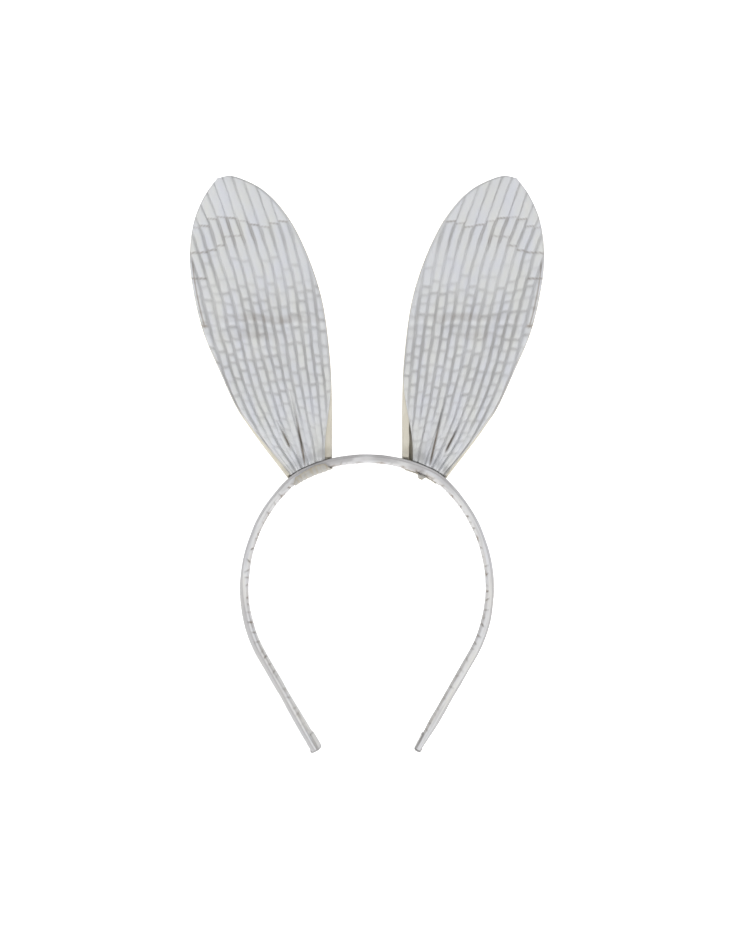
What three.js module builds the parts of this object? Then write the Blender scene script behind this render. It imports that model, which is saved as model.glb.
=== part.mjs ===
// A costume headband with two bendable fabric animal ears, in millimetres.
// +Z is up as the band is worn, -Y is the front and +X is the viewer's right.
// The origin is the middle of the band's inner face at the crown.
// The right half is drawn and the left half is its mirror image, so the object is symmetric about X = 0.

import * as THREE from 'three';

// ---- driving dimensions ----

const GAP = 0.3; // between pieces that touch on the real object
const toRadians = THREE.MathUtils.degToRad;

// The band's centreline on one side: arcs from the crown outward and down, then a straight tail.
const BAND_ARCS = [
  { radius: 77.4, turn: toRadians(26) }, // crown
  { radius: 30.6, turn: toRadians(17) }, // shoulder, where the ear is sewn on
  { radius: 78.2, turn: toRadians(47) }, // side of the head, down to the widest point
  { radius: 73.0, turn: toRadians(30) }, // below the widest point, turning in
];
const TAIL_LENGTH = 58;
const BAND = { width: 8.6, thickness: 4.8, chamfer: 1.2, step: 5.1 }; // over the fabric cover
const COVER_WALL = 1.0;
const CORE_CHAMFER = 0.5;
const LEG_JOINT = { at: 48.3, gap: 1.2 }; // distance along the centreline, just outside the ear's base

// The end of each leg, where the cover's end is folded over the core and glued to the inner face.
const TIP_FOLD = { wall: 1.0, width: 8.0, flapLength: 9, flapThickness: 0.9 };

// The ear: u runs outward and v runs up the ear, both from its base point.
const EAR_BASE = new THREE.Vector3(30.8, 2.0, -2.7);
const EAR_LEAN = toRadians(13.5); // outward
const OUTER_SIDE = [
  [16, 4], [22.3, 18], [27.2, 30], [31.4, 42], [35.3, 62], [39, 84],
  [39.2, 106], [36.8, 126], [30.2, 144], [21.6, 156], [12.2, 164],
];
const INNER_SIDE = [
  [12.2, 164], [5.2, 163.8], [-1.2, 160.4], [-9.8, 153], [-17, 142], [-22.9, 126],
  [-26.7, 104], [-27.4, 82], [-24.2, 54], [-19.9, 32], [-14.4, 9],
];
const SIDE_SAMPLES = 24;
const CREASE = { height: 73, gap: 5 }; // the ears fold forward and back along this level

// Layers of the ear, front to back about its mid-plane.
const FRONT_PANEL = { near: -2.6, far: -1.4 };
const BACK_PANEL = { near: 1.4, far: 2.2 };
const EDGE_WIRE = { radius: 0.55, inset: 2.4, sides: 6, step: 7, margin: 1 };
const GATHER_THREAD = { radius: 0.35, sides: 6, rise: 4, inset: 5, waves: 8, amplitude: 0.6 };

// The ear's gathered end passes behind the band and wraps under it, and is sewn there.
const TAB = { from: 19.4, to: 43.4, wall: 0.9, rise: 2.8, reach: 1.2, step: 6 };
const STITCH = { radius: 0.35, sides: 6, from: 22, to: 41, count: 10, back: -3.4, front: 0.4 };

const SILVER_FABRIC = { color: 0xcbccce, roughness: 0.55, metalness: 0 };
const CREAM_FABRIC = { color: 0xe6e0d0, roughness: 0.9, metalness: 0 };
const CORE_PLASTIC = { color: 0xe8e8e6, roughness: 0.5, metalness: 0 };
const STEEL_WIRE = { color: 0xa8aaad, roughness: 0.35, metalness: 1 };
const SEWING_THREAD = { color: 0xdcdad2, roughness: 0.8, metalness: 0 };

// ---- the band's centreline ----

const BAND_LENGTH = BAND_ARCS.reduce((sum, { radius, turn }) => sum + radius * turn, TAIL_LENGTH);

// A point of the centreline at a distance along it from the crown, negative to the left.
// Its angle is how far the band has turned from level.
function bandPoint(distance) {
  const side = Math.sign(distance);
  let [x, z, angle, left] = [0, BAND.thickness / 2, 0, Math.abs(distance)];
  for (const { radius, turn } of BAND_ARCS) {
    const length = Math.min(left, radius * turn);
    const next = angle + length / radius;
    x += radius * (Math.sin(next) - Math.sin(angle));
    z += radius * (Math.cos(next) - Math.cos(angle));
    angle = next;
    left -= length;
  }
  x += left * Math.cos(angle);
  z -= left * Math.sin(angle);
  return { x: side * x, z, angle: side * angle };
}

// The point that lies so far to the front of the centreline and so far in towards the head.
function besideBand(distance, front, inward) {
  const { x, z, angle } = bandPoint(distance);
  return new THREE.Vector3(x - inward * Math.sin(angle), -front, z - inward * Math.cos(angle));
}

class BandCurve extends THREE.Curve {
  constructor(from, to) {
    super();
    this.from = from;
    this.to = to;
  }

  getPoint(t, target = new THREE.Vector3()) {
    return target.copy(besideBand(THREE.MathUtils.lerp(this.from, this.to, t), 0, 0));
  }
}

// ---- solids ----

function polygon(points) {
  return new THREE.Shape(points.map(([x, y]) => new THREE.Vector2(x, y)));
}

function chamferedRectangle(width, height, chamfer) {
  const [x, y] = [width / 2, height / 2];
  return [
    [x, chamfer - y], [x, y - chamfer], [x - chamfer, y], [chamfer - x, y],
    [-x, y - chamfer], [-x, chamfer - y], [chamfer - x, -y], [x - chamfer, -y],
  ];
}

// A section swept along the band. The section's x runs to the front and its y in towards the head.
// A sweep over the crown has an odd number of facets, so one is level and centred on the origin.
function sweepBand(section, from, to, step) {
  const pairs = Math.round((to - from) / step / 2);
  const steps = from < 0 ? 2 * pairs + 1 : 2 * pairs;
  return new THREE.ExtrudeGeometry(section, { steps, extrudePath: new BandCurve(from, to) });
}

function roundTube(points, radius, sides, steps) {
  const corners = Array.from({ length: sides }, (_, i) => {
    const angle = (2 * Math.PI * i) / sides;
    return [radius * Math.cos(angle), radius * Math.sin(angle)];
  });
  const extrudePath = new THREE.CatmullRomCurve3(points, false, 'centripetal');
  return new THREE.ExtrudeGeometry(polygon(corners), { steps, extrudePath });
}

// A flat piece whose outline lies in the X-Z plane, solid from y = near to y = far.
function plate(outline, near, far) {
  const geometry = new THREE.ExtrudeGeometry(polygon(outline), { depth: far - near, bevelEnabled: false });
  return geometry.rotateX(Math.PI / 2).translate(0, far, 0);
}

// The mirror image in X, with each triangle turned round so that its face still points out.
function mirrored(geometry) {
  const copy = geometry.clone().scale(-1, 1, 1);
  const place = copy.getAttribute('position');
  const [a, b] = [new THREE.Vector3(), new THREE.Vector3()];
  for (let i = 0; i < place.count; i += 3) {
    a.fromBufferAttribute(place, i);
    b.fromBufferAttribute(place, i + 1);
    place.setXYZ(i, b.x, b.y, b.z);
    place.setXYZ(i + 1, a.x, a.y, a.z);
  }
  copy.computeVertexNormals();
  return copy;
}

// ---- the band ----

const CROWN_REACH = LEG_JOINT.at - LEG_JOINT.gap / 2;
const LEG_START = LEG_JOINT.at + LEG_JOINT.gap / 2;

function bandCore(from, to) {
  const lost = 2 * (COVER_WALL + GAP);
  const section = polygon(chamferedRectangle(BAND.width - lost, BAND.thickness - lost, CORE_CHAMFER));
  return sweepBand(section, from, to, BAND.step);
}

function bandCover(from, to) {
  const section = polygon(chamferedRectangle(BAND.width, BAND.thickness, BAND.chamfer));
  const lost = 2 * COVER_WALL;
  section.holes.push(polygon(chamferedRectangle(BAND.width - lost, BAND.thickness - lost, CORE_CHAMFER)));
  return sweepBand(section, from, to, BAND.step);
}

function tipFold() {
  const outer = -BAND.thickness / 2;
  const flapNear = BAND.thickness / 2 + GAP;
  const flapFar = flapNear + TIP_FOLD.flapThickness;
  const end = GAP + TIP_FOLD.wall;
  const profile = [
    [-TIP_FOLD.flapLength, flapNear], [-TIP_FOLD.flapLength, flapFar], [end, flapFar],
    [end, outer], [GAP, outer], [GAP, flapNear],
  ];
  const outline = profile.map(([along, inward]) => {
    const { x, z } = besideBand(BAND_LENGTH + along, 0, inward);
    return [x, z];
  });
  return plate(outline, -TIP_FOLD.width / 2, TIP_FOLD.width / 2);
}

// ---- the ear's fastening to the band ----

function earTab() {
  const back = -BAND.width / 2 - GAP;
  const under = BAND.thickness / 2 + GAP;
  const section = polygon([
    [back - TAB.wall, -TAB.rise], [back, -TAB.rise], [back, under],
    [TAB.reach, under], [TAB.reach, under + TAB.wall], [back - TAB.wall, under + TAB.wall],
  ]);
  return sweepBand(section, TAB.from, TAB.to, TAB.step);
}

function tabStitches() {
  const inward = BAND.thickness / 2 + GAP + TAB.wall + GAP + STITCH.radius;
  const points = Array.from({ length: STITCH.count + 1 }, (_, i) => {
    const distance = THREE.MathUtils.lerp(STITCH.from, STITCH.to, i / STITCH.count);
    return besideBand(distance, i % 2 ? STITCH.back : STITCH.front, inward);
  });
  return roundTube(points, STITCH.radius, STITCH.sides, 4 * STITCH.count);
}

// ---- the ear, in its own u-v plane ----

function sampleSide(points) {
  const curve = new THREE.SplineCurve(points.map(([u, v]) => new THREE.Vector2(u, v)));
  return curve.getSpacedPoints(SIDE_SAMPLES).map((point) => [point.x, point.y]);
}

const EAR_OUTLINE = [...sampleSide(OUTER_SIDE), ...sampleSide(INNER_SIDE).slice(1)];

function heightOf([u, v]) {
  return EAR_BASE.z + v * Math.cos(EAR_LEAN) - u * Math.sin(EAR_LEAN);
}

// The part of an outline on one side of a level: side is 1 above it and -1 below it.
function cutAtLevel(outline, level, side) {
  const kept = [];
  outline.forEach((point, i) => {
    const next = outline[(i + 1) % outline.length];
    const here = side * (heightOf(point) - level);
    const there = side * (heightOf(next) - level);
    if (here >= 0) kept.push(point);
    if (here * there < 0) {
      const share = here / (here - there);
      kept.push(point.map((value, axis) => value + share * (next[axis] - value)));
    }
  });
  return kept;
}

const LOWER_TOP = CREASE.height - CREASE.gap / 2;
const UPPER_BOTTOM = CREASE.height + CREASE.gap / 2;

function lowerPanel({ near, far }) {
  return plate(cutAtLevel(EAR_OUTLINE, LOWER_TOP, -1), near, far);
}

function upperPanel({ near, far }) {
  return plate(cutAtLevel(EAR_OUTLINE, UPPER_BOTTOM, 1), near, far);
}

// The outline moved inward by the wire's inset, from the outer end of the base round to the inner end.
function wireLine() {
  const points = EAR_OUTLINE.map(([u, v]) => new THREE.Vector2(u, v));
  return points.map((point, i) => {
    const before = points[Math.max(i - 1, 0)];
    const after = points[Math.min(i + 1, points.length - 1)];
    const along = after.clone().sub(before).normalize();
    return [point.x - EDGE_WIRE.inset * along.y, point.y + EDGE_WIRE.inset * along.x];
  });
}

function wire(line) {
  const points = line.map(([u, v]) => new THREE.Vector3(u, 0, v));
  const length = new THREE.CatmullRomCurve3(points).getLength();
  return roundTube(points, EDGE_WIRE.radius, EDGE_WIRE.sides, Math.round(length / EDGE_WIRE.step));
}

function edgeWires() {
  const line = wireLine();
  const above = (point) => heightOf(point) > UPPER_BOTTOM + EDGE_WIRE.margin;
  const below = (point) => heightOf(point) < LOWER_TOP - EDGE_WIRE.margin;
  const tip = line.findIndex(above);
  return {
    outer: wire(line.slice(0, tip).filter(below)),
    tip: wire(line.filter(above)),
    inner: wire(line.slice(tip).filter(below)),
  };
}

// A running thread across the ear's base, woven between the panels, that holds its pleats.
function gatherThread() {
  const [outerEnd, innerEnd] = [EAR_OUTLINE[0], EAR_OUTLINE.at(-1)];
  const from = new THREE.Vector3(outerEnd[0] - GATHER_THREAD.inset, 0, outerEnd[1] + GATHER_THREAD.rise);
  const to = new THREE.Vector3(innerEnd[0] + GATHER_THREAD.inset, 0, innerEnd[1] + GATHER_THREAD.rise);
  const points = Array.from({ length: GATHER_THREAD.waves + 1 }, (_, i) => {
    const point = from.clone().lerp(to, i / GATHER_THREAD.waves);
    return point.setY(i % 2 ? GATHER_THREAD.amplitude : -GATHER_THREAD.amplitude);
  });
  return roundTube(points, GATHER_THREAD.radius, GATHER_THREAD.sides, 4 * GATHER_THREAD.waves);
}

// ---- assembly ----

function addMesh(group, name, geometry, look) {
  const mesh = new THREE.Mesh(geometry, new THREE.MeshStandardMaterial(look));
  mesh.name = name;
  group.add(mesh);
}

const wires = edgeWires();

// Pieces drawn in the object's own frame.
const BAND_PIECES = [
  ['leg_core', bandCore(LEG_START, BAND_LENGTH), CORE_PLASTIC],
  ['leg_cover', bandCover(LEG_START, BAND_LENGTH), SILVER_FABRIC],
  ['tip_fold', tipFold(), SILVER_FABRIC],
  ['ear_tab', earTab(), CREAM_FABRIC],
  ['tab_stitches', tabStitches(), SEWING_THREAD],
];

// Pieces drawn in the ear's plane.
const EAR_PIECES = [
  ['ear_front_lower', lowerPanel(FRONT_PANEL), SILVER_FABRIC],
  ['ear_front_upper', upperPanel(FRONT_PANEL), SILVER_FABRIC],
  ['ear_back_lower', lowerPanel(BACK_PANEL), CREAM_FABRIC],
  ['ear_back_upper', upperPanel(BACK_PANEL), CREAM_FABRIC],
  ['ear_wire_outer', wires.outer, STEEL_WIRE],
  ['ear_wire_inner', wires.inner, STEEL_WIRE],
  ['ear_wire_tip', wires.tip, STEEL_WIRE],
  ['gather_thread', gatherThread(), SEWING_THREAD],
];

const headband = new THREE.Group();
addMesh(headband, 'crown_core', bandCore(-CROWN_REACH, CROWN_REACH), CORE_PLASTIC);
addMesh(headband, 'crown_cover', bandCover(-CROWN_REACH, CROWN_REACH), SILVER_FABRIC);

for (const [side, sign] of [['right', 1], ['left', -1]]) {
  const shaped = (geometry) => (sign > 0 ? geometry : mirrored(geometry));
  const ear = new THREE.Group();
  ear.position.set(sign * EAR_BASE.x, EAR_BASE.y, EAR_BASE.z);
  ear.rotation.y = sign * EAR_LEAN;
  headband.add(ear);
  BAND_PIECES.forEach(([name, geometry, look]) => addMesh(headband, `${side}_${name}`, shaped(geometry), look));
  EAR_PIECES.forEach(([name, geometry, look]) => addMesh(ear, `${side}_${name}`, shaped(geometry), look));
}

export default headband;
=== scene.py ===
import math

import bmesh
import bpy
import numpy as np
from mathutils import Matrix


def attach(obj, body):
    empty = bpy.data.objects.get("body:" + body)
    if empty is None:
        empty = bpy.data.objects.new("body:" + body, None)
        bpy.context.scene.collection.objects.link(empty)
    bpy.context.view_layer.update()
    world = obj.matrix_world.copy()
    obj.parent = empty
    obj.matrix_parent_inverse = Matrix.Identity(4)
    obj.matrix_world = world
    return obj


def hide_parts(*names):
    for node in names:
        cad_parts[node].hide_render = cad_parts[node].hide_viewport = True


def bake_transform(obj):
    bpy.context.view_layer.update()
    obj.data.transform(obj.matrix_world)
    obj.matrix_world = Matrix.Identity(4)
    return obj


# Looks for a costume headband with two bendable fabric animal ears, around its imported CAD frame.
# Lengths are in millimetres until new_mesh(), which makes metres. +X is the viewer's right, -Y the
# front and +Z up. The right half is drawn, and side = -1 mirrors it.

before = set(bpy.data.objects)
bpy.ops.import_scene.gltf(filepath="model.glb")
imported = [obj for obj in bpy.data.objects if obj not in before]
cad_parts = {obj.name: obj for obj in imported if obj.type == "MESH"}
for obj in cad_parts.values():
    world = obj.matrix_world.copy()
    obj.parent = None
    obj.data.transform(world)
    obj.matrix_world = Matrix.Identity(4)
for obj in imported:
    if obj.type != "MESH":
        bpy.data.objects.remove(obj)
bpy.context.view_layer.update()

MM = 0.001

# ---- dimensions shared with the CAD model ----

ARCS = ((77.4, 26), (30.6, 17), (78.2, 47), (73.0, 30))  # radius and turn in degrees, from the crown
TAIL = 58.0
BAND_WIDTH, BAND_THICKNESS = 8.6, 4.8
LEG_JOINT = 48.3  # distance along the centreline
EAR_BASE = (30.8, -2.7)
EAR_LEAN = math.radians(13.5)
OUTER_SIDE = (
    (16, 4), (22.3, 18), (27.2, 30), (31.4, 42), (35.3, 62), (39, 84),
    (39.2, 106), (36.8, 126), (30.2, 144), (21.6, 156), (12.2, 164),
)
INNER_SIDE = (
    (-14.4, 9), (-19.9, 32), (-24.2, 54), (-27.4, 82), (-26.7, 104), (-22.9, 126),
    (-17, 142), (-9.8, 153), (-1.2, 160.4), (5.2, 163.8), (12.2, 164),
)
FOLD_HEIGHT = 73.0

# ---- the ear's cloth ----

SIDE_LENGTH = 165.0  # nominal, from the base to the tip
NECK = 8.6  # how far the cloth runs on below the base, down behind the band
SPLIT = 38.0  # where the lower and upper pieces meet, well away from both hinges
LOWER_ROWS, UPPER_ROWS = 96, 160
FRONT_COLUMNS, BACK_COLUMNS = 190, 70
RIB = 5.3  # from one groove to the next, well above the base
PANEL_THICKNESS = 0.45
HEM_REACH = 3.8  # how far in from the outline the turned edge runs
EDGE_REVEAL = 0.35  # how far the front panel's edge stands in from the outline everywhere
BACK_REVEAL = 1.3  # the same for the back panel's sheet

NOISE_SIZE = 64  # cells along each side of a noise table, which then repeats


def smoothstep(x):
    x = np.clip(x, 0.0, 1.0)
    return x * x * (3 - 2 * x)


def bump(x, width):
    """1 at x = 0, falling to nothing over about two widths."""
    return np.exp(-((x / width) ** 2))


def smooth_noise(x, y, seed):
    """Smooth noise from -1 to 1, with features about one unit apart."""
    table = np.random.default_rng(seed).uniform(-1, 1, (NOISE_SIZE, NOISE_SIZE))
    x, y = np.broadcast_arrays(x, y)
    i, j = np.floor(x).astype(int), np.floor(y).astype(int)
    across, up = smoothstep(x - i), smoothstep(y - j)

    def at(a, b):
        return table[(i + a) % NOISE_SIZE, (j + b) % NOISE_SIZE]

    low = at(0, 0) + (at(1, 0) - at(0, 0)) * across
    high = at(0, 1) + (at(1, 1) - at(0, 1)) * across
    return low + (high - low) * up


# ---- meshes ----


def quads_of_grid(rows, columns, wrap=False):
    """Faces of a grid whose point (row, column) has index row * columns + column."""
    last = columns if wrap else columns - 1
    row, column = np.meshgrid(np.arange(rows - 1), np.arange(last), indexing="ij")
    beside = (column + 1) % columns
    here = row * columns
    above = (row + 1) * columns
    return np.stack([here + column, here + beside, above + beside, above + column], -1).reshape(-1, 4)


def border_of_grid(rows, columns):
    """The indices round the edge of a grid, in order."""
    index = np.arange(rows * columns).reshape(rows, columns)
    return np.concatenate([index[0, :], index[1:, -1], index[-1, -2::-1], index[-2:0:-1, 0]])


def closed_sheet(front, back):
    """Points and faces of a closed sheet between two grids of points."""
    rows, columns = front.shape[:2]
    total = rows * columns
    faces = quads_of_grid(rows, columns)
    edge = border_of_grid(rows, columns)
    after = np.roll(edge, -1)
    walls = np.stack([edge, edge + total, after + total, after], -1)
    points = np.concatenate([front.reshape(-1, 3), back.reshape(-1, 3)])
    return points, np.concatenate([faces, faces[:, ::-1] + total, walls])


def closed_sweep(rings):
    """Points and faces of a sweep with flat ends, from rings of points."""
    rows, columns = rings.shape[:2]
    middles = rings[[0, -1]].mean(axis=1)
    points = np.concatenate([rings.reshape(-1, 3), middles])
    faces = [list(face) for face in quads_of_grid(rows, columns, wrap=True)]
    start, end = rows * columns, rows * columns + 1
    last = (rows - 1) * columns
    for i in range(columns):
        j = (i + 1) % columns
        faces.append([j, i, start])
        faces.append([last + i, last + j, end])
    return points, faces


def join_parts(parts):
    """Points and faces of several parts as one."""
    points, faces, count = [], [], 0
    for part_points, part_faces in parts:
        points.append(part_points)
        faces.extend([int(i) + count for i in face] for face in part_faces)
        count += len(part_points)
    return np.concatenate(points), faces


def new_mesh(name, points, faces, material, attributes=None, weave=None):
    """A smooth-shaded piece from points in millimetres. Its faces are turned to point outward."""
    mesh = bpy.data.meshes.new(name)
    mesh.from_pydata((points * MM).tolist(), [], [[int(i) for i in face] for face in faces])
    for key, values in (attributes or {}).items():
        layer = mesh.attributes.new(key, "FLOAT", "POINT")
        layer.data.foreach_set("value", np.asarray(values, np.float32).ravel())
    if weave is not None:
        layer = mesh.attributes.new("weave", "FLOAT_VECTOR", "POINT")
        layer.data.foreach_set("vector", np.asarray(weave, np.float32).ravel())
    mesh.validate()
    work = bmesh.new()
    work.from_mesh(mesh)
    bmesh.ops.recalc_face_normals(work, faces=work.faces)
    work.to_mesh(mesh)
    work.free()
    mesh.shade_smooth()
    mesh.set_sharp_from_angle(angle=math.radians(60))
    mesh.materials.append(material)
    piece = bpy.data.objects.new(name, mesh)
    bpy.context.scene.collection.objects.link(piece)
    return piece


# ---- materials ----


def srgb(red, green, blue):
    """A colour given as it shows on a screen, from 0 to 255, as a linear one."""
    def linear(value):
        value /= 255
        return value / 12.92 if value <= 0.04045 else ((value + 0.055) / 1.055) ** 2.4

    return (linear(red), linear(green), linear(blue), 1.0)


class Shader:
    """A material being built from nodes."""

    def __init__(self, name, roughness, **settings):
        self.material = bpy.data.materials.new(name)
        self.material.use_nodes = True
        self.nodes = self.material.node_tree.nodes
        self.links = self.material.node_tree.links
        self.surface = self.nodes["Principled BSDF"]
        self.surface.inputs["Roughness"].default_value = roughness
        for key, value in settings.items():
            self.surface.inputs[key.replace("_", " ").title()].default_value = value

    def put(self, socket, value):
        if isinstance(value, bpy.types.NodeSocket):
            self.links.new(value, socket)
        else:
            socket.default_value = value

    def value_of(self, name):
        node = self.nodes.new("ShaderNodeAttribute")
        node.attribute_name = name
        return node.outputs["Fac"]

    def weave_at(self, scale):
        """The cloth's own coordinates, which stay on it as it bends, multiplied by a scale."""
        node = self.nodes.new("ShaderNodeAttribute")
        node.attribute_name = "weave"
        mapping = self.nodes.new("ShaderNodeMapping")
        self.links.new(node.outputs["Vector"], mapping.inputs["Vector"])
        mapping.inputs["Scale"].default_value = scale
        return mapping.outputs["Vector"]

    def object_at(self, scale):
        node = self.nodes.new("ShaderNodeTexCoord")
        mapping = self.nodes.new("ShaderNodeMapping")
        self.links.new(node.outputs["Object"], mapping.inputs["Vector"])
        mapping.inputs["Scale"].default_value = scale
        return mapping.outputs["Vector"]

    def noise(self, vector, scale):
        node = self.nodes.new("ShaderNodeTexNoise")
        self.links.new(vector, node.inputs["Vector"])
        node.inputs["Scale"].default_value = scale
        node.inputs["Detail"].default_value = 3.0
        return node.outputs["Fac"]

    def wave(self, vector, scale, direction):
        node = self.nodes.new("ShaderNodeTexWave")
        node.bands_direction = direction
        self.links.new(vector, node.inputs["Vector"])
        node.inputs["Scale"].default_value = scale
        node.inputs["Distortion"].default_value = 0.6
        return node.outputs["Fac"]

    def ramp(self, value, low, high):
        node = self.nodes.new("ShaderNodeMapRange")
        self.put(node.inputs["Value"], value)
        node.inputs["From Min"].default_value = low
        node.inputs["From Max"].default_value = high
        return node.outputs["Result"]

    def math(self, operation, a, b):
        node = self.nodes.new("ShaderNodeMath")
        node.operation = operation
        self.put(node.inputs[0], a)
        self.put(node.inputs[1], b)
        return node.outputs["Value"]

    def mix(self, factor, a, b):
        node = self.nodes.new("ShaderNodeMix")
        node.data_type = "RGBA"
        self.put(node.inputs["Factor"], factor)
        self.put(node.inputs[6], a)
        self.put(node.inputs[7], b)
        return node.outputs[2]

    def bump(self, height, strength, distance):
        node = self.nodes.new("ShaderNodeBump")
        self.put(node.inputs["Height"], height)
        node.inputs["Strength"].default_value = strength
        node.inputs["Distance"].default_value = distance
        self.links.new(node.outputs["Normal"], self.surface.inputs["Normal"])

    def finish(self, colour):
        self.put(self.surface.inputs["Base Color"], colour)
        return self.material


def thread_bump(shader, pitch, strength, distance):
    """A plain weave of threads so many millimetres apart, as bump."""
    scale = 1 / (math.pi * pitch)  # a wave texture repeats every 0.1 * pi / scale
    warp = shader.wave(shader.weave_at((1, 0, 0)), scale, "X")
    weft = shader.wave(shader.weave_at((0, 1, 0)), scale, "Y")
    shader.bump(shader.math("MULTIPLY", warp, weft), strength, distance)


def silver_cloth(name, cool, warm, groove):
    """The ribbed satin cloth, with shade painted into its grooves, cross wrinkles, creases and dents,
    and brown that is partly marks and partly painted shade.
    """
    shader = Shader(name, 0.55, sheen_weight=0.15, sheen_roughness=0.5)
    tone = shader.noise(shader.weave_at((1, 0.35, 1)), 0.12)
    colour = shader.mix(shader.ramp(tone, 0.35, 0.65), cool, warm)
    # painted shade: grey in the grooves, wrinkles and folds, and other darker patches
    colour = shader.mix(shader.value_of("groove"), colour, groove)
    # painted shade: darker grey along creases and dents
    colour = shader.mix(shader.value_of("line"), colour, srgb(150, 149, 148))
    # brown: partly marks on the cloth, partly painted shade in folds, creases and dents
    colour = shader.mix(shader.value_of("stain_and_shade"), colour, srgb(140, 128, 116))
    thread_bump(shader, 0.3, 0.25, 0.00006)
    return shader.finish(colour)


def cream_cloth(name, low, high):
    """The plain lining cloth of the ears' backs, with shade painted into its creases and gathers."""
    shader = Shader(name, 0.85, sheen_weight=0.1, sheen_roughness=0.6)
    tone = shader.noise(shader.weave_at((1, 0.5, 1)), 0.25)
    colour = shader.mix(shader.ramp(tone, 0.3, 0.7), low, high)
    # painted shade in creases and gathers
    colour = shader.mix(shader.value_of("line"), colour, srgb(176, 166, 146))
    thread_bump(shader, 0.4, 0.4, 0.00008)
    return shader.finish(colour)


def plain_material(name, low, high, roughness, grain, metallic=0.0):
    """Plastic, wire or thread: two close tones and a fine grain along the object."""
    shader = Shader(name, roughness, metallic=metallic)
    tone = shader.noise(shader.object_at((1, 1, 1)), grain)
    shader.bump(tone, 0.3, 0.00005)
    return shader.finish(shader.mix(tone, low, high))


# ---- the camera, the light and the stage ----

PICTURE_HEIGHT = 506.5  # of the object's plane, in view
LENS, SENSOR = 85.0, 36.0
AIM = (4.3, -3.2)


def add_camera():
    data = bpy.data.cameras.new("camera")
    data.lens = LENS
    data.sensor_width = SENSOR
    data.clip_end = 20
    camera = bpy.data.objects.new("camera", data)
    camera.location = (AIM[0] * MM, -PICTURE_HEIGHT * MM * LENS / SENSOR, AIM[1] * MM)
    camera.rotation_euler = (math.pi / 2, 0, 0)
    bpy.context.scene.collection.objects.link(camera)
    bpy.context.scene.camera = camera


def add_area_light(name, place, size, power):
    """A soft light that faces the middle of the object."""
    data = bpy.data.lights.new(name, "AREA")
    data.size = size
    data.energy = power
    light = bpy.data.objects.new(name, data)
    light.location = place
    aim = (-light.location).normalized()
    light.rotation_euler = aim.to_track_quat("-Z", "Y").to_euler()
    bpy.context.scene.collection.objects.link(light)


def add_stage():
    """A white floor that curves up into a backdrop, bright enough to lose its shadows."""
    depth, half, radius = 3.0, 6.0, 1.2
    floor = -0.6
    angles = np.linspace(0, math.pi / 2, 24)
    curve_y = np.concatenate([[-8.0], depth + radius * np.sin(angles), [depth + radius]])
    curve_z = np.concatenate([[floor], floor + radius * (1 - np.cos(angles)), [7.0]])
    rows = [[(x, y, z) for x in (-half, half)] for y, z in zip(curve_y, curve_z)]
    points = np.array(rows) / MM
    material = bpy.data.materials.new("stage_white")
    material.use_nodes = True
    surface = material.node_tree.nodes["Principled BSDF"]
    surface.inputs["Base Color"].default_value = (0.9, 0.9, 0.9, 1)
    surface.inputs["Emission Color"].default_value = (1, 1, 1, 1)
    surface.inputs["Emission Strength"].default_value = 0.8
    faces = quads_of_grid(len(rows), 2)
    mesh = bpy.data.meshes.new("stage")
    mesh.from_pydata((points.reshape(-1, 3) * MM).tolist(), [], faces.tolist())
    mesh.materials.append(material)
    stage = bpy.data.objects.new("stage", mesh)
    bpy.context.scene.collection.objects.link(stage)


def add_light():
    world = bpy.data.worlds.new("studio")
    bpy.context.scene.world = world
    world.use_nodes = True
    background = world.node_tree.nodes["Background"]
    background.inputs["Color"].default_value = (1, 1, 1, 1)
    background.inputs["Strength"].default_value = 0.42
    add_area_light("key_light", (-0.9, -1.4, 1.3), 0.9, 6)
    add_area_light("fill_light", (1.3, -1.3, 0.2), 1.2, 1.5)
    bpy.context.scene.view_settings.view_transform = "Standard"


# ---- the band's line ----


def band_point(distance):
    """A point of the centreline, x and z, and how far the band has turned from level there."""
    side = math.copysign(1, distance)
    x, z, angle, left = 0.0, BAND_THICKNESS / 2, 0.0, abs(distance)
    for radius, turn in ARCS:
        length = min(left, radius * math.radians(turn))
        after = angle + length / radius
        x += radius * (math.sin(after) - math.sin(angle))
        z += radius * (math.cos(after) - math.cos(angle))
        angle = after
        left -= length
    x += left * math.cos(angle)
    z -= left * math.sin(angle)
    return side * x, z, side * angle


BAND_LENGTH = sum(radius * math.radians(turn) for radius, turn in ARCS) + TAIL


# ---- the ear's outline and layers ----


def catmull_rom(points, count):
    """Points of a uniform Catmull-Rom spline, so many to each span."""
    p = np.array(points, float)
    found = []
    for i in range(len(p) - 1):
        a, b, c, d = p[max(i - 1, 0)], p[i], p[i + 1], p[min(i + 2, len(p) - 1)]
        t = np.linspace(0, 1, count, endpoint=False)[:, None]
        into, out = (c - a) / 2, (d - b) / 2
        found.append(
            (2 * b - 2 * c + into + out) * t**3 + (-3 * b + 3 * c - 2 * into - out) * t**2 + into * t + b
        )
    return np.concatenate(found + [p[-1:]])


def spaced_side(points):
    """A side of the ear as a function of its distance up from the base, straight on below it."""
    per_span = 40
    line = catmull_rom(points, per_span)
    steps = np.linalg.norm(np.diff(line, axis=0), axis=1)
    along = np.concatenate([[0], np.cumsum(steps)])
    along *= SIDE_LENGTH / along[-1]
    slope = line[per_span] - line[0]
    slope /= np.linalg.norm(slope)

    def at(q):
        q = np.asarray(q, float)
        u = np.interp(q, along, line[:, 0]) + slope[0] * np.minimum(q, 0)
        v = np.interp(q, along, line[:, 1]) + slope[1] * np.minimum(q, 0)
        return np.stack([u, v], -1)

    return at


outer_side = spaced_side(OUTER_SIDE)
inner_side = spaced_side(INNER_SIDE)


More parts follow.
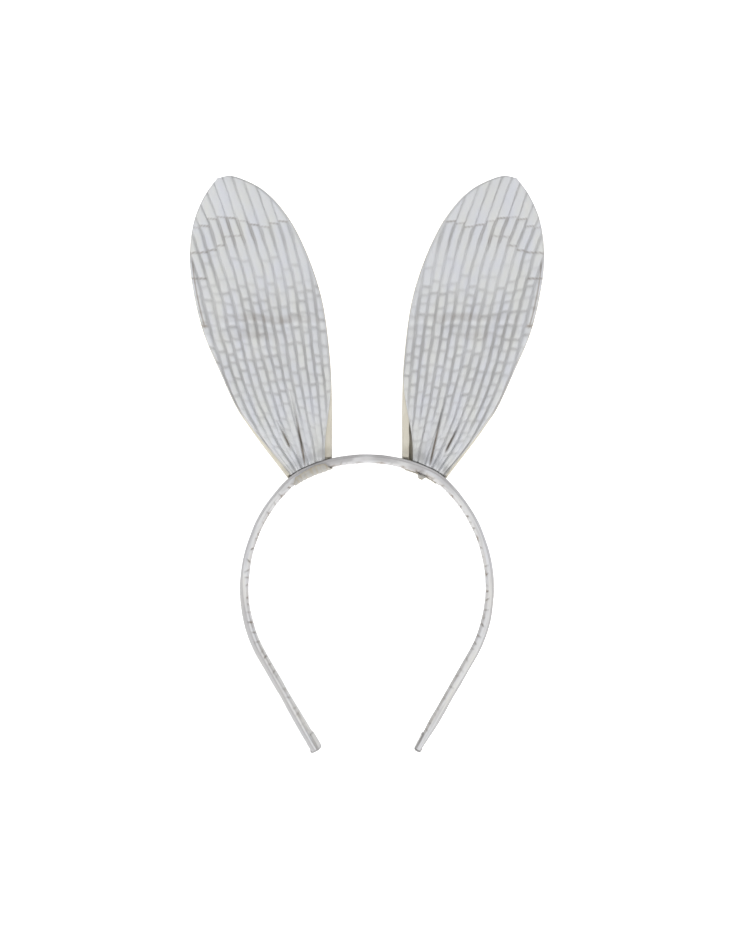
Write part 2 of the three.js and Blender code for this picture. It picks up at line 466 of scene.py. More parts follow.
def ear_to_world(u, y, v, side):
    """Points of the ear's own frame: u outward, y back, v up."""
    lean_sin, lean_cos = math.sin(EAR_LEAN), math.cos(EAR_LEAN)
    x = side * (EAR_BASE[0] + u * lean_cos + v * lean_sin)
    z = EAR_BASE[1] - u * lean_sin + v * lean_cos
    return np.stack([x, np.broadcast_to(y, np.shape(x)), z], -1)


# Where the cloth crosses the band.
BULGE = 2.5  # how far the front of the cloth comes forward just above the band
BULGE_LIMIT = 1.9  # only cloth nearer the front than this depth does so
BEHIND_BAND = 5.1  # depth of cloth that lies behind the band
HEM_SHIFT = 0.65  # the turned edge crosses as if it were this much deeper


def above_band(u, v):
    """How far points of the ear stand above the band's outer face."""
    place = ear_to_world(u, 0, v, 1)
    x, z, angle = np.array([band_point(s) for s in np.linspace(0, 100, 201)]).T
    outer_x = x + BAND_THICKNESS / 2 * np.sin(angle)
    outer_z = z + BAND_THICKNESS / 2 * np.cos(angle)
    height = place[..., 2] - np.interp(place[..., 0], outer_x, outer_z)
    return height * np.cos(np.interp(place[..., 0], outer_x, angle))


def neck_depth(y, u, v):
    """Takes a layer back over the band's outer face and down behind it. Its front bulges first."""
    above = above_band(u, v)
    bulge = np.where(y < BULGE_LIMIT, BULGE, 0) * smoothstep((6.5 - above) / 5)
    share = smoothstep((0.55 + 0.15 * smooth_noise(u / 3.5, 0.5, 31) - above) / 0.95)
    lower = smoothstep(-above / 2.4)
    return (1 - share) * (y - bulge) + share * (BEHIND_BAND + 0.3 * (y - 1.5) + 0.45 * lower)


class EarGrid:
    """Points across the ear, in rows from the inner side to the outer side."""

    def __init__(self, low, high, rows, columns, inner_gap, outer_gap):
        self.q = np.linspace(low, high, rows)[:, None]
        inner, outer = inner_side(self.q[:, 0]), outer_side(self.q[:, 0])
        width = np.linalg.norm(outer - inner, axis=1)[:, None]
        first = np.minimum(inner_gap(self.q) / np.maximum(width, 0.1), 0.45)
        last = 1 - np.minimum(outer_gap(self.q) / np.maximum(width, 0.1), 0.45)
        share = np.linspace(0, 1, columns)[None, :]
        self.across = first + (last - first) * share
        place = inner[:, None, :] + (outer - inner)[:, None, :] * self.across[..., None]
        self.u, self.v = place[..., 0], place[..., 1]
        self.to_inner = (self.across - first) * width
        self.to_outer = (last - self.across) * width
        self.z = EAR_BASE[1] - self.u * math.sin(EAR_LEAN) + self.v * math.cos(EAR_LEAN)


# How each ear differs: the cream strip beside each edge of its front panel, as (width at the base,
# distance up where it ends), the deep folds, as (u, v) of the top and of the foot, and its seed.
EARS = {
    -1: {
        "inner": (3.8, 34),
        "outer": (2.0, 44),
        "slits": ((-0.4, 52, 1.6, 12), (11.6, 32, 8.6, 17)),
        "seed": 11,
    },
    1: {
        "inner": (6.0, 36),
        "outer": (1.1, 44),
        "slits": ((2.2, 50, 2.5, 12), (14.5, 34, 10.3, 16)),
        "seed": 23,
    },
}


def edge_gap(amount, reach):
    """How far a panel's edge stands in from the outline: a little, and more towards the base."""
    return lambda q: EDGE_REVEAL + amount * smoothstep(1 - q / reach)


# ---- ribs, wrinkles and folds of the front panel ----


# The rib in the middle, as (v, u). The others fan out on both sides of it.
MIDDLE_RIB = (
    (-20, -1.8), (0, 0), (22, 1.7), (42, 2.3), (62, 1.9), (82, 0.9), (105, -0.2), (126, 0.4),
    (150, 2.8), (172, 5.2),
)
# How deep the grooves are, as (height, strength).
GROOVE_STRENGTH = (
    (0, 0.6), (30, 0.7), (45, 0.9), (76, 1), (88, 0.85), (97, 0.55), (113, 0.5), (121, 0.85),
)
# The stepped creases near the tip, as (share of the way across, height).
UPPER_CREASE = (
    (0, 131), (0.12, 130.2), (0.26, 127), (0.38, 130), (0.5, 132.2), (0.66, 133), (0.76, 130.7),
    (0.86, 126.8), (1, 127.4),
)
SECOND_CREASE = ((0.46, 121), (0.57, 124.5), (0.68, 118), (0.76, 116.6), (0.87, 114), (1, 113.4))
SECOND_CREASE_START = 0.46  # share of the way across
THIRD_CREASE = 99.6  # height of a short crease by the outer edge
THIRD_CREASE_START = 0.87
CREASE_BAND = 126  # height round which a rib's place under the creases is read


def profile(knots, x):
    """The height of a broken line at x, from its corners."""
    return np.interp(x, *np.array(knots).T)


def rib_number(u, v, seed):
    """Which rib a point is on: whole numbers are the grooves. The ribs fan out from the base."""
    middle = profile(catmull_rom(MIDDLE_RIB, 12), v)
    pitch = RIB - 3.4 * np.exp(-np.maximum(v, 0) / 42)
    wander = 0.08 * smooth_noise(u / 9, v / 14, seed) + 0.04 * smooth_noise(u / 3, v / 5, seed + 1)
    return (u - middle) / pitch + wander, pitch


def rib_creases(rib, seed):
    """Height, strength and slant of the cross wrinkles on one rib, closer together lower down."""
    draw = np.random.default_rng(1000 * seed + rib + 50)
    height, found = 4 + draw.uniform(0, 6), []
    while height < 112:
        weak = 0.6 if height < 36 or height > 96 else 1.0
        found.append((height, weak * draw.uniform(0.25, 1.0), draw.uniform(-1.0, 1.0)))
        height += draw.uniform(4.4, 8.6) + (draw.uniform(1, 12) if height > 94 else 0)
    return found


def cross_wrinkles(grid, number, seed):
    """The wrinkles and the stepped creases across the ribs, each rib with its own."""
    rib = np.floor(number).astype(int)
    smooth_top, wrinkle, soft, line, stain_and_shade = (np.zeros_like(number) for _ in range(5))
    high, low = np.abs(grid.z - CREASE_BAND) < 6, np.abs(grid.z - THIRD_CREASE) < 3
    for n in range(rib.min(), rib.max() + 1):
        here = rib == n
        z = grid.z[here]
        over = number[here] - n - 0.5
        dent = np.zeros_like(z)
        for height, strength, slant in rib_creases(n, seed):
            dent = np.maximum(dent, strength * bump(z - height - slant * over, 0.85))
        first, second, place = 200.0, 200.0, 0.0  # out of reach, for a rib that ends lower down
        if (here & high).any():
            place = grid.across[here & high].mean()
            first = profile(UPPER_CREASE, place)
            second = profile(SECOND_CREASE, place)
        smooth_top[here] = smoothstep((z - first) / 2 + 0.5)
        edge = bump(z - first - 0.4 * over, 0.42) * (0.7 + 0.3 * math.sin(3.7 * n + seed))
        if place > SECOND_CREASE_START:
            again = bump(z - second + 0.6 * over, 0.42) * (0.75 + 0.25 * math.sin(5.3 * n))
            edge = np.maximum(edge, again)
        if (here & low).any() and grid.across[here & low].mean() > THIRD_CREASE_START:
            edge = np.maximum(edge, bump(z - THIRD_CREASE, 0.5))
        dent = dent * (1 - smooth_top[here])
        soft[here] = dent
        wrinkle[here] = np.maximum(dent, 0.8 * edge)
        # painted shade, grey along the dents and creases and brown along the creases
        line[here] = np.maximum(0.2 * dent, 0.62 * edge)
        stain_and_shade[here] = 0.4 * edge
    return smooth_top, wrinkle, soft, line, stain_and_shade


def front_relief(grid, ear):
    """Depth of the front panel's face, and how much painted shade (two greys) and brown (partly marks,
    partly painted shade) each point has.
    """
    seed = ear["seed"]
    number, pitch = rib_number(grid.u, grid.v, seed)
    from_groove = np.abs(number - np.round(number)) * pitch
    smooth_top, wrinkle, soft, line, stain_and_shade = cross_wrinkles(grid, number, seed)

    # the grooves, deeper towards the outer edge, and every second one faint near the base
    strength = profile(GROOVE_STRENGTH, grid.z)
    outer = smoothstep((grid.across - 0.62) / 0.2)
    strength = np.maximum(strength, 0.85 * outer)
    merged = (np.round(number) % 2 == 1) * smoothstep((34 - grid.v) / 16)
    width = 1.45 - 0.7 * smooth_top + 0.3 * smooth_noise(number * 2, grid.z / 7, seed + 2)
    width = width * np.clip(pitch / RIB, 0.62, 1) * (0.55 + 0.45 * strength)
    width = width + 0.5 * wrinkle * (1 - smooth_top)
    groove = smoothstep(1.2 * (1 - from_groove / width)) * (1 - 0.8 * merged)
    depth = (1.15 - 0.5 * smooth_top) * groove * (0.45 + 0.55 * strength)
    top = 0.16 * np.cos(math.pi * (number - np.floor(number) - 0.5))
    height = 1.2 + top - depth - 0.42 * wrinkle * (1 - groove)
    height += 0.35 * smooth_noise(grid.u / 16, grid.z / 22, seed + 3)

    # painted shade in the grooves and cross wrinkles, and in grey clouds over the middle, where the
    # cloth has been folded and pressed
    middle = bump(grid.z - 66, 26)
    cloud = middle * smoothstep(0.35 + 0.8 * smooth_noise(grid.u / 11, grid.z / 9, seed + 8))
    line = line * (1 - 0.7 * groove)
    tone = 0.72 - 0.3 * smooth_top + 0.28 * smooth_noise(number, grid.z / 12, seed + 4)
    shade = groove * tone * strength
    shade = np.maximum(shade, 0.62 * soft) + 0.18 * cloud

    # the crease where the ear folds, with painted shade, grey and brown, along both creases, and brown
    # streaks higher up
    fold = FOLD_HEIGHT + 2.5 * smooth_noise(grid.u / 12, 0.5, seed + 5)
    height -= 0.45 * bump(grid.z - fold, 1.6)
    fold_shade = smoothstep(1.3 * bump(grid.z - fold - 4, 2.6) - 0.15) * bump(grid.across - 0.45, 0.3)
    below = 0.7 * bump(grid.z - fold + 5.5, 2.2) * bump(grid.across - 0.62, 0.2)
    fold_shade = np.maximum(fold_shade, below)
    fold_shade = fold_shade * (0.6 + 0.4 * smooth_noise(grid.u / 5, grid.z / 4, seed + 9))
    shade = np.maximum(shade, 0.7 * fold_shade)
    stain_and_shade = np.maximum(stain_and_shade, (0.2 + 0.3 * groove) * fold_shade)
    streak = smoothstep((grid.z - 115) / 6) * smoothstep((134 - grid.z) / 3)
    streak = streak * bump(grid.across - 0.5, 0.17) * bump(from_groove - 0.55, 0.28)
    patchy = 0.6 + 0.4 * smooth_noise(number * 3, grid.z / 4, seed + 6)
    stain_and_shade = np.maximum(stain_and_shade, 0.7 * streak * patchy)

    # a dented line beside the outer edge, and a notch where the fold meets it, both with brown painted
    # shade
    outer_line = bump(grid.to_outer - 1.5, 0.4)
    outer_line = outer_line * smoothstep((grid.z - 72) / 2) * smoothstep((112 - grid.z) / 8)
    low_line = 0.6 * bump(grid.to_outer - 0.7, 0.35) * smoothstep((66 - grid.z) / 10)
    outer_line = np.maximum(outer_line, low_line)
    height -= 0.5 * outer_line
    stain_and_shade = np.maximum(stain_and_shade, 0.7 * outer_line)
    notch = bump(grid.z - FOLD_HEIGHT - 1, 0.8) * smoothstep((4.2 - grid.to_outer) / 2)
    height -= 0.6 * notch
    stain_and_shade = np.maximum(stain_and_shade, 0.8 * notch)

    # deep folds near the base, with grey and brown painted shade down each one
    for top_u, top_v, low_u, low_v in ear["slits"]:
        share = (top_v - grid.v) / (top_v - low_v)
        beside = grid.u - (top_u + (low_u - top_u) * share)
        fade = smoothstep(share * 1.2) * smoothstep((1.35 - share) / 0.25)
        deep = bump(beside, 0.5) * fade
        lips = bump(beside - 1.4, 1.1) + bump(beside + 1.4, 1.1)
        height += 0.45 * fade * lips - 1.1 * deep
        dark = 0.95 * bump(beside, 0.42) * smoothstep((share - 0.5) * 2.4) * fade
        stain_and_shade = np.maximum(stain_and_shade, dark)
        shade = np.maximum(shade, 0.9 * bump(beside, 0.9) * fade)

    # gathers at the base, with painted shade in their hollows
    gather = smoothstep(1 - grid.v / 26)
    crumple = smooth_noise(grid.u / 2.2, grid.v / 9, seed + 7)
    height += 0.45 * gather * crumple
    shade = np.maximum(shade, 0.55 * gather * smoothstep(-1.6 * crumple))

    rolled = smoothstep(np.minimum(grid.to_inner, grid.to_outer) / 1.3)
    pillow = 0.4 * np.sin(math.pi * np.clip(grid.across, 0, 1))
    y = 0.15 - (height - 0.25 + pillow) * rolled
    return y, np.clip(shade, 0, 1), np.clip(line, 0, 1), np.clip(stain_and_shade, 0, 1)


def front_panel(name, side, low, high, rows, material):
    """One piece of the ribbed front cloth, between two heights along the sides."""
    ear = EARS[side]
    inner_gap, outer_gap = edge_gap(*ear["inner"]), edge_gap(*ear["outer"])
    grid = EarGrid(low, high, rows, FRONT_COLUMNS, inner_gap, outer_gap)
    y, groove, line, stain_and_shade = front_relief(grid, ear)
    inside = np.minimum(y + PANEL_THICKNESS, 0.65)  # stays in front of the turned edge
    front = ear_to_world(grid.u, neck_depth(y, grid.u, grid.v), grid.v, side)
    back = ear_to_world(grid.u, neck_depth(inside, grid.u, grid.v), grid.v, side)
    points, faces = closed_sheet(front, back)
    weave = np.stack([grid.u, grid.v, 0 * grid.u], -1)
    # the painted shade and the brown, for the material's colour
    attributes = {"groove": groove, "line": line, "stain_and_shade": stain_and_shade}
    doubled = {key: np.concatenate([value.ravel()] * 2) for key, value in attributes.items()}
    return new_mesh(name, points, faces, material, doubled, np.concatenate([weave.reshape(-1, 3)] * 2))


# ---- the cream back panel, with its edge turned over the wire ----


def back_gap(q):
    return BACK_REVEAL + 0 * q


def back_sheet(side, low, high, rows):
    ear = EARS[side]
    grid = EarGrid(low, high, rows, BACK_COLUMNS, back_gap, back_gap)
    seed = ear["seed"] + 40
    gather = smoothstep(1 - grid.v / 45)
    y = 3.35 + 0.3 * smooth_noise(grid.u / 14, grid.z / 20, seed)
    y += gather * (0.45 * smooth_noise(grid.across * 14, grid.v / 30, seed + 1) + 0.1)
    y += 0.25 * np.sin(math.pi * grid.across) - 0.35 * bump(grid.z - FOLD_HEIGHT, 1.8)
    # painted shade along the fold's crease and over the gathers that stand furthest back
    line = 0.5 * bump(grid.z - FOLD_HEIGHT, 1.2) + 0.3 * gather * (y > 3.6)
    outer_depth = neck_depth(y + PANEL_THICKNESS, grid.u, grid.v)
    outer_face = ear_to_world(grid.u, outer_depth, grid.v, side)
    inner_face = ear_to_world(grid.u, neck_depth(y, grid.u, grid.v), grid.v, side)
    weave = np.stack([grid.u, grid.v, 0 * grid.u], -1).reshape(-1, 3)
    looks = np.concatenate([line.ravel()] * 2), np.concatenate([weave] * 2)
    return closed_sheet(inner_face, outer_face), *looks


def hem_section():
    """The turned edge, as (distance in from the outline, depth): out round the wire and back."""
    bend, radius, middle = 1.35, 1.35, 2.1
    angles = np.linspace(-math.pi / 2, math.pi / 2, 11)
    outer = [(HEM_REACH, middle - radius)] + [
        (bend - radius * math.cos(a), middle + radius * math.sin(a)) for a in angles
    ] + [(HEM_REACH - 0.6, middle + radius + 0.15)]
    inside = radius - PANEL_THICKNESS
    inner = [(HEM_REACH - 0.6, middle + inside + 0.15)] + [
        (bend - inside * math.cos(a), middle + inside * math.sin(a)) for a in angles[::-1]
    ] + [(HEM_REACH, middle - inside)]
    return np.array(outer + inner)


def unit(rows):
    """Rows scaled to length 1."""
    return rows / np.linalg.norm(rows, axis=-1)[..., None]


def hem(side, line):
    """The turned edge swept along part of the outline."""
    ahead = np.roll(line, -1, axis=0) - line
    ahead[-1] = ahead[-2]
    behind = np.roll(ahead, 1, axis=0)
    behind[0] = ahead[0]
    along = unit(ahead) + unit(behind)
    along = unit(along)
    inward = np.stack([-along[:, 1], along[:, 0]], -1)
    section = hem_section()
    ripple = 1 + 0.05 * smooth_noise(np.arange(len(line)) / 4.0, 0.3, EARS[side]["seed"] + 60)
    inset = section[None, :, 0] * ripple[:, None]
    u = line[:, None, 0] + inward[:, None, 0] * inset
    v = line[:, None, 1] + inward[:, None, 1] * inset
    y = neck_depth(np.broadcast_to(section[None, :, 1] + HEM_SHIFT, u.shape), u, v) - HEM_SHIFT
    rings = ear_to_world(u, y, v, side)
    weave = np.stack([u + y, v, 0 * u], -1).reshape(-1, 3)
    return closed_sweep(rings), np.zeros(u.size + 2), np.concatenate([weave, weave[:2]])


def back_panel(name, side, low, high, rows, material):
    """One piece of the back cloth: the sheet and the turned edge that holds the wire."""
    parts = [back_sheet(side, low, high, rows)]
    q = np.linspace(low, high, max(int((high - low) / 1.2), 8))
    if high < SIDE_LENGTH:
        parts.append(hem(side, outer_side(q)))
        parts.append(hem(side, inner_side(q[::-1])))
    else:
        whole = np.concatenate([outer_side(q), inner_side(q[::-1])[1:]])
        parts.append(hem(side, whole))
    points, faces = join_parts([part[0] for part in parts])
    line = np.concatenate([part[1] for part in parts])
    weave = np.concatenate([part[2] for part in parts])
    return new_mesh(name, points, faces, material, {"line": line}, weave)


def add_ear(side, silver, cream):
    word = "right" if side > 0 else "left"
    rib_cut, plain_cut = 1.25, 1.05  # flat width over finished width, for each cloth
    for layer, build, material, slot_name, take_up in (
        ("front", front_panel, silver, "silver_fabric", rib_cut),
        ("back", back_panel, cream, "cream_fabric", plain_cut),
    ):
        lower = build(f"{word}_ear_{layer}_lower_cloth", side, -NECK, SPLIT, LOWER_ROWS, material)
        upper = build(f"{word}_ear_{layer}_upper_cloth", side, SPLIT, SIDE_LENGTH, UPPER_ROWS, material)
        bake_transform(lower)
        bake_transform(upper)
        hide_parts(f"{word}_ear_{layer}_lower")
        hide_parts(f"{word}_ear_{layer}_upper")


# ---- the band's cover, the ear tabs and the tips ----

SECTION_POINTS = 76
COVER_ROWS = 420
COVER_WALL = 0.55
LEFT_TWIST = math.radians(12)
RIGHT_TAPER_START, RIGHT_TAPER_LENGTH = 184, 22
TAB_START, TAB_END = 19.6, 43.2  # distances along the band
HANGING_CORNER = 31.5
STITCH_START, STITCH_END, ZIGZAGS = 22, 41, 10


def rounded_section(width, thickness, corner):
    """Evenly spaced (front, inward) points round a rectangle with round corners, and their normals."""
    found = []
    for start, (a, b) in enumerate(((1, 1), (-1, 1), (-1, -1), (1, -1))):
        for angle in np.linspace(0, math.pi / 2, 24) + start * math.pi / 2:
            found.append((
                a * (width / 2 - corner) + corner * math.cos(angle),
                b * (thickness / 2 - corner) + corner * math.sin(angle),
            ))
    line = np.array(found + found[:1])
    along = np.concatenate([[0], np.cumsum(np.linalg.norm(np.diff(line, axis=0), axis=1))])
    at = np.linspace(0, along[-1], SECTION_POINTS, endpoint=False)
    points = np.stack([np.interp(at, along, line[:, 0]), np.interp(at, along, line[:, 1])], -1)
    ahead = np.roll(points, -1, axis=0) - np.roll(points, 1, axis=0)
    return points, unit(np.stack([ahead[:, 1], -ahead[:, 0]], -1)), at


def leg_shape(side, s, front, inward):
    """The left leg turns a little towards its tip, and the right one tapers there."""
    if side < 0:
        turn = LEFT_TWIST * (0.25 * smoothstep((s - 105) / 50) + 0.75 * smoothstep((s - 165) / 35))
        cos, sin = np.cos(turn), np.sin(turn)
        return front * cos + inward * sin, inward * cos - front * sin
    taper = smoothstep((s - RIGHT_TAPER_START) / RIGHT_TAPER_LENGTH)
    return front * (1 - 0.22 * taper), inward * (1 - 0.36 * taper)


def place_on_band(side, s, front, inward):
    """Points at distances s, so far to the front and inward, after the leg's own shape."""
    s, front, inward = np.broadcast_arrays(s, front, inward)
    front, inward = leg_shape(side, s, front, inward)
    line = {value: band_point(value) for value in np.unique(s)}
    x, z, angle = np.array([line[value] for value in s.ravel()]).T.reshape((3,) + s.shape)
    return np.stack([side * (x - inward * np.sin(angle)), -front, z - inward * np.cos(angle)], -1)


def band_relief(side, s, front, inward):
    """How far the cover's surface is pushed out, and its painted shade (two greys) and brown (partly
    marks, partly painted shade).
    """
    seed = 70 + side
    slim = smoothstep((s - 48) / 10) * smoothstep((130 - s) / 14)
    push = 0.16 * smooth_noise(s / 9, inward / 2 + front / 5, seed)
    push -= 0.14 * slim + 0.1 * slim * smooth_noise(s / 16, 0.5, seed + 7)
    facing = smoothstep((front - 1.5) / 2)
    # one lengthwise rib of the cloth runs along the front, between two shallow grooves
    lower = smoothstep((s - 95) / 30)
    top_line = -1.35 + (1.4 * lower if side < 0 else -0.25 * lower)
    top_line = top_line + 0.25 * smooth_noise(s / 25, 0.5, seed + 1)
    low_line = 1.75 + 0.2 * smooth_noise(s / 18, 0.5, seed + 2)
    low_groove = (0.35 + 0.55 * lower) * bump(inward - low_line, 0.3)
    grooves = np.maximum(bump(inward - top_line, 0.32), low_groove)
    push -= 0.28 * grooves * facing
    outer_strip = smoothstep((top_line - inward) / 0.4) * smoothstep((front + 3) / 2)
    crown = smoothstep((58 - s) / 16)
    mottle = smoothstep(0.5 + 0.7 * smooth_noise(s / 5, inward / 2.2, seed + 8))
    # painted shade in the two grooves, over the outer strip and along the inner and outer edges; then
    # darker mottling and streaks, and a darker crown
    shade = np.maximum(0.9 * grooves * facing, (0.5 + 0.2 * lower if side < 0 else 0.25) * outer_strip)
    inner_edge = 0.5 * (1 - lower) if side < 0 else 0.5 + 0.3 * lower
    shade = np.maximum(shade, inner_edge * smoothstep((inward - 1.95) / 0.35))
    if side > 0:
        outer_edge = 0.9 * lower * smoothstep((-1.75 - inward) / 0.3)
        shade = np.maximum(shade, outer_edge * smoothstep((front + 3) / 2))
    streaks = smoothstep(1.3 * smooth_noise(s / 13, inward * 1.6, seed + 9))
    shade = np.maximum(shade, 0.7 * crown * mottle * facing) + 0.2 * crown
    shade = np.maximum(shade, 0.45 * streaks * facing)
    # puckers across the inner half, where the cover's seam pulls, each with grey and brown painted shade
    draw = np.random.default_rng(seed + 3)
    dents = np.zeros_like(push)
    where = 8.0
    while where < 196:
        reach, strength = draw.uniform(-1.0, 1.2), draw.uniform(0.2, 1.0)
        strength *= 0.5 if where < 45 or where > 160 else 1.2
        slant = draw.uniform(-0.7, 0.7)
        dent = bump(s - where - slant * (inward - 1), 0.45) * smoothstep((inward - reach) / 0.8)
        dents = np.maximum(dents, strength * dent)
        where += draw.uniform(2.6, 7.5)
    dents = dents * (0.25 + 0.75 * smoothstep((front - 0.3) / 2.8))
    push -= 0.4 * dents
    # the seam on the inner face, a little to the front
    seam = bump(front - 1.9, 0.35) * smoothstep((inward - 1.6) / 0.4)
    push += 0.22 * seam * (0.7 + 0.3 * np.sin(s * 2.6))
    # brown patches towards the inner edge of the front, and brown painted shade in the puckers
    stain_and_shade = 0.5 * smoothstep((inward - 0.9) / 1.2)
    stain_and_shade = stain_and_shade * smoothstep(0.3 + 1.2 * smooth_noise(s / 4, 0.5, seed + 4))
    stain_and_shade = 1.3 * stain_and_shade * facing * (1 - 0.5 * lower) + 0.8 * dents * smoothstep((inward - 0.6) / 0.8)
    return push, np.clip(shade, 0, 1), np.clip(0.7 * dents + 0.3 * seam, 0, 1), np.clip(stain_and_shade, 0, 1)


def sleeve(outside, inside):
    """Points and faces of a sleeve between two sets of rings, closed at both ends."""
    rows, columns = outside.shape[:2]
    total = rows * columns
    faces = quads_of_grid(rows, columns, wrap=True)
    here = np.arange(columns)
    beside = (here + 1) % columns
    ends = [np.stack([row + here, row + here + total, row + beside + total, row + beside], -1)
            for row in (0, total - columns)]
    return np.concatenate([outside.reshape(-1, 3), inside.reshape(-1, 3)]), np.concatenate(
        [faces, faces + total] + ends)


def cover_half(name, side, material):
    """The band's cover from the crown to one tip: a sleeve round the core."""
    s = np.linspace(0, BAND_LENGTH, COVER_ROWS)[:, None]
    points, normals, around = rounded_section(BAND_WIDTH, BAND_THICKNESS, 1.7)
    front, inward = points[None, :, 0], points[None, :, 1]
    push, groove, line, stain_and_shade = band_relief(side, s, front, inward)
    fade = smoothstep(s / 6)  # both halves are plain where they meet at the crown
    push = push * fade
    outside = place_on_band(side, s, front + push * normals[:, 0], inward + push * normals[:, 1])
    lost = 2 * COVER_WALL
    narrow = rounded_section(BAND_WIDTH - lost, BAND_THICKNESS - lost, 1.15)[0]
    inside = place_on_band(side, s, narrow[None, :, 0], narrow[None, :, 1])
    points, faces = sleeve(outside, inside)
    weave = np.stack([around[None, :] + 0 * s, s + 0 * around[None, :], 0 * push], -1).reshape(-1, 3)
    groove = fade * groove + (1 - fade) * (0.35 + 0 * push)
    looks = {"groove": groove, "line": fade * line, "stain_and_shade": fade * stain_and_shade}
    doubled = {key: np.concatenate([(value + 0 * push).ravel()] * 2) for key, value in looks.items()}
    return new_mesh(name, points, faces, material, doubled, np.concatenate([weave] * 2))


def strip_on_band(name, side, s, front, inward, thickness, material, line=0.0):
    """A closed sheet laid on the band: grids of s, front and inward, thickened to one side."""
    outer = place_on_band(side, s, front, inward)
    across, down = np.gradient(outer, axis=1), np.gradient(outer, axis=0)
    points, faces = closed_sheet(outer, outer + thickness * unit(np.cross(across, down)))
    width = np.cumsum(np.linalg.norm(across, axis=-1), axis=1)
    weave = np.stack([width, s + 0 * width, 0 * width], -1).reshape(-1, 3)
    # line is painted shade, for the material
    shade = np.broadcast_to(line, width.shape).ravel()
    looks = {"groove": 0 * shade, "line": shade, "stain_and_shade": 0 * shade}
    doubled = {key: np.concatenate([value] * 2) for key, value in looks.items()}
    return new_mesh(name, points, faces, material, doubled, np.concatenate([weave] * 2))


# The tabs' paths round the band, as (front, inward).
TAB_BACK = ((-4.7, -1.6), (-4.75, 0.4), (-4.75, 1.8), (-4.3, 2.6), (-3.0, 2.9), (0, 2.9))
TAB_WRAPPED = TAB_BACK + ((2.6, 2.95), (4.1, 2.75), (4.72, 1.8), (4.8, 0.7), (4.78, -0.6), (4.7, -1.4))
TAB_HANGING = TAB_BACK + ((2.6, 2.9), (3.8, 2.95), (4.45, 3.3), (4.6, 4.0), (4.6, 5.2))


def ear_tab(name, side, material):
    """The gathered end of the ear's cloth, taken down behind the band and under it.

    The left one goes on up the band's front, and the right one hangs below it.
    """
    path = catmull_rom(TAB_HANGING if side > 0 else TAB_WRAPPED, 8)
    s = np.linspace(TAB_START, TAB_END, 110)[:, None]
    from_end = np.minimum(s - TAB_START, TAB_END - s)
    if side > 0:  # one corner of the cloth hangs a little below the band
        reach = 0.52 + 0.48 * smoothstep(1.15 - np.abs(s - HANGING_CORNER) / 4.2)
    else:
        reach = 0.72 + 0.28 * smoothstep(from_end / 4)
        reach = reach - 0.07 * (1 + smooth_noise(s / 3.5, 0.5, 95))
    share = np.linspace(0, 1, len(path))[None, :] * reach
    at = np.linspace(0, 1, len(path))
    front, inward = np.interp(share, at, path[:, 0]), np.interp(share, at, path[:, 1])
    gathers = 0.6 * np.sin(2 * math.pi * s / 2.9 + 3 * smooth_noise(s / 5, 0.5, 90 + side))
    gathers = gathers + 0.8 * smooth_noise(s / 1.9, share * 5, 91 + side)
    gathers = 0.2 * gathers * smoothstep(4 * share)
    behind = smoothstep(-front / 1.5 - 1.5)
    ahead = smoothstep(front / 1.2 - 2.9)
    front = front - gathers * behind + 0.5 * (gathers + 0.2) * ahead
    inward = inward + (gathers + 0.15) * (1 - behind) * (1 - 0.6 * ahead)
    taper = 1 - smoothstep(from_end / 3.5)
    inward = inward - 0.4 * taper * (1 - behind)
    # painted shade in the hollows of the gathers and along the cloth's far edge, with a little all over
    shade = np.clip(0.15 + 0.6 * smoothstep(-gathers / 0.25) + 0.4 * (share > 0.94 * reach), 0, 1)
    return strip_on_band(name, side, s + 0 * share, front, inward, 0.4, material, shade)


def tab_stitches(name, side, material):
    """A zigzag of thread that sews the tab down under the band."""
    data = bpy.data.curves.new(name, "CURVE")
    data.dimensions = "3D"
    data.bevel_depth = 0.22 * MM
    data.bevel_resolution = 3
    spline = data.splines.new("POLY")
    points = []
    steps = 6  # to each leg of the zigzag
    for i in range(ZIGZAGS * steps + 1):
        share = abs((i / steps) % 2 - 1)
        s = STITCH_START + (STITCH_END - STITCH_START) * i / (ZIGZAGS * steps)
        lift = 0.12 * math.sin(math.pi * share)
        points.append(place_on_band(side, s, -2.6 + 3.0 * share, 3.1 + lift) * MM)
    spline.points.add(len(points) - 1)
    for point, place in zip(spline.points, points):
        point.co = (*place, 1)
    data.materials.append(material)
    piece = bpy.data.objects.new(name, data)
    bpy.context.scene.collection.objects.link(piece)
    return piece


# The tip fold's path round the core's end, as (distance past the end, inward).
TIP_PATH = (
    (-1.2, -2.5), (0.15, -2.45), (0.85, -1.6), (0.95, 0), (0.9, 1.7), (0.2, 2.62), (-1.5, 2.85),
    (-5, 2.85), (-9, 2.8),
)


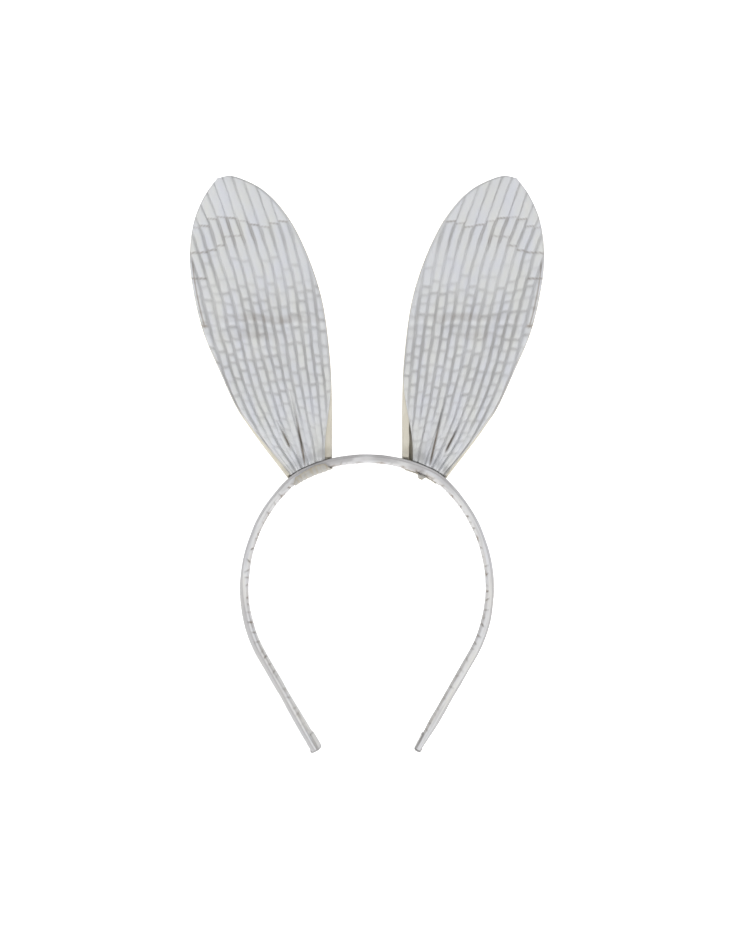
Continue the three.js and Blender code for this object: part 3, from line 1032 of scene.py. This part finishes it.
def tip_fold(name, side, material):
    """The cover's end, folded round the core's end and glued to the inner face."""
    path = catmull_rom(TIP_PATH, 6)
    across = np.linspace(-1, 1, 30)[None, :]
    along, level = path[:, 0][:, None], path[:, 1][:, None]
    if side < 0:
        narrowing = 0.06 * smoothstep((along + 1) / 2)
    else:
        narrowing = 0.25 * smoothstep((along + 2) / 3)
    front = 4.1 * across * (1 - narrowing)
    inward = level * (1 - 0.1 * across**6) + 0.08 * smooth_noise(along / 2, across * 3, 80 + side)
    rounded = 1 - 0.7 * smoothstep((np.abs(across) - 0.7) / 0.3)
    distance = np.where(along > 0, along * rounded, along + 0 * across)
    # painted shade along the edges and the glued end, in the crease, over the rounded end that catches
    # the light, and a little all over
    edge = smoothstep((np.abs(across) - 0.86) / 0.1) * 0.5 + 0.75 * bump(along + 8.8, 0.35)
    crease = 0.9 * bump(level - 2.2, 0.45) * smoothstep((along + 1.2) / 0.6)
    end = 0.5 * smoothstep((along + 0.1) / 0.5)
    line = np.clip(edge + crease + 0.15 + end, 0, 1)
    return strip_on_band(name, side, BAND_LENGTH + distance, front, inward, 0.4, material, line)


def add_band(silver, cream, thread):
    for side, word in ((1, "right"), (-1, "left")):
        cover = cover_half(f"{word}_band_cover", side, silver)
        low, high = band_point(LEG_JOINT - 3), band_point(LEG_JOINT + 3)
        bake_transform(cover)
        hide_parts(f"{word}_leg_cover", "crown_cover")
        tip = tip_fold(f"{word}_tip_fold_cloth", side, silver)
        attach(tip, f"{word}_leg")
        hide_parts(f"{word}_tip_fold")
        # cream here is the tab's lining cloth darkened with painted shade
        tab = ear_tab(f"{word}_ear_tab_cloth", side, cream)
        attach(tab, "crown")
        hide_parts(f"{word}_ear_tab")
        stitches = tab_stitches(f"{word}_tab_stitching", side, thread)
        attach(stitches, "crown")
        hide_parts(f"{word}_tab_stitches")


def dress_cad_nodes(thread):
    """Better materials on the CAD pieces that keep their own shape."""
    plastic = plain_material("core_plastic_look", srgb(226, 226, 222), srgb(236, 236, 233), 0.5, 900)
    pale, dark = srgb(184, 186, 190), srgb(160, 162, 165)
    wire = plain_material("steel_wire_look", dark, pale, 0.35, 2500, metallic=1.0)
    looks = (("core", plastic), ("wire", wire), ("thread", thread), ("stitches", thread))
    for name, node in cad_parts.items():
        for word, material in looks:
            if word in name:
                node.data.materials.clear()
                node.data.materials.append(material)


add_camera()
add_stage()
add_light()
silver = silver_cloth("silver_cloth", srgb(215, 217, 223), srgb(219, 220, 218), srgb(178, 178, 178))
band_silver = silver_cloth("band_cloth", srgb(222, 223, 227), srgb(226, 224, 220), srgb(182, 180, 181))
cream = cream_cloth("cream_cloth", srgb(214, 208, 192), srgb(224, 219, 205))
# the tab's lining cloth darkened to grey: painted shade, as it lies under the band
tab_cream_painted_shade = cream_cloth("tab_cloth_painted_shade", srgb(170, 169, 166), srgb(190, 189, 186))
for ear_side in (1, -1):
    add_ear(ear_side, silver, cream)
thread_look = plain_material("thread_look", srgb(206, 202, 190), srgb(224, 221, 212), 0.8, 4000)
add_band(band_silver, tab_cream_painted_shade, thread_look)
dress_cad_nodes(thread_look)
